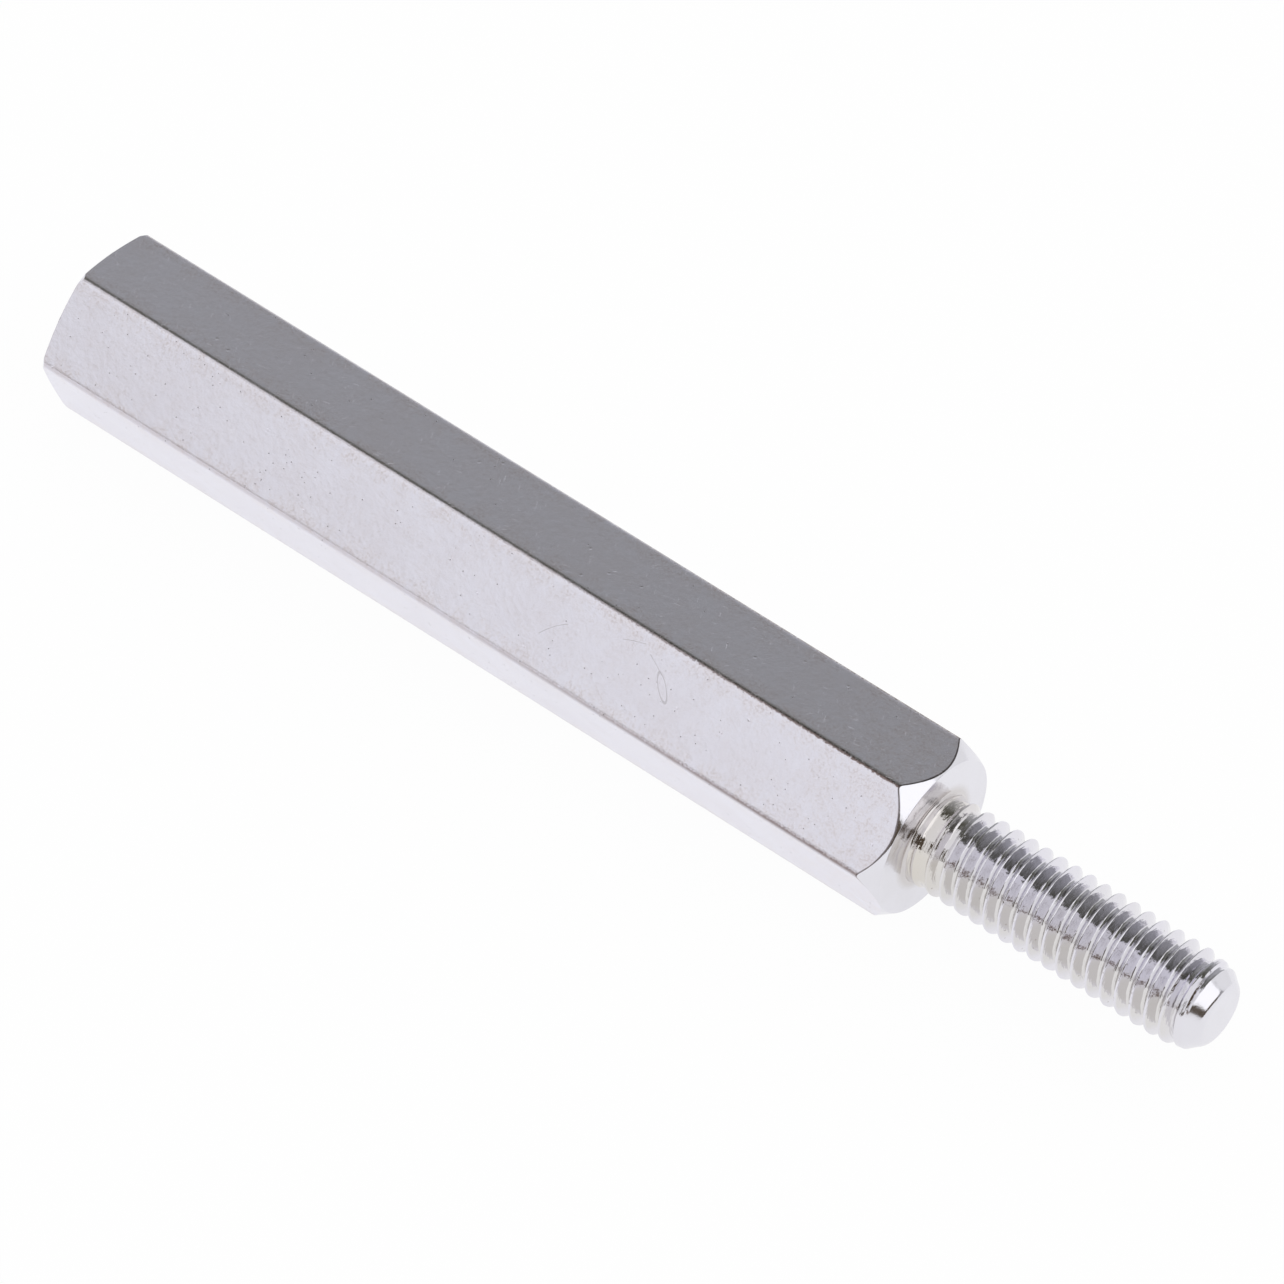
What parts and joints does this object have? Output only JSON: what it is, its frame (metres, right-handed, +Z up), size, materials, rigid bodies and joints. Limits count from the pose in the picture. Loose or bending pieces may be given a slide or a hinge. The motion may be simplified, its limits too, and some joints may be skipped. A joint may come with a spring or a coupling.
{
  "type": "hex standoff",
  "caption": "Male-female hexagonal spacer: a hex bar body with chamfered ends, a threaded stud at one end and a blind tapped hole at the other, to hold boards apart.",
  "frame": {"origin": "in the plane of the flat that the part lies on, under the middle of the overall length", "axes": "+X along the axis from the tapped end to the stud's tip, +Z up, with two flats of the hexagon level"},
  "size_m": [0.0398, 0.0056, 0.0049],
  "materials": {
    "nickel_plate": "satin nickel plating over brass"
  },
  "bodies": {
    "root": {"hex_standoff": "nickel_plate"}
  },
  "joints": []
}
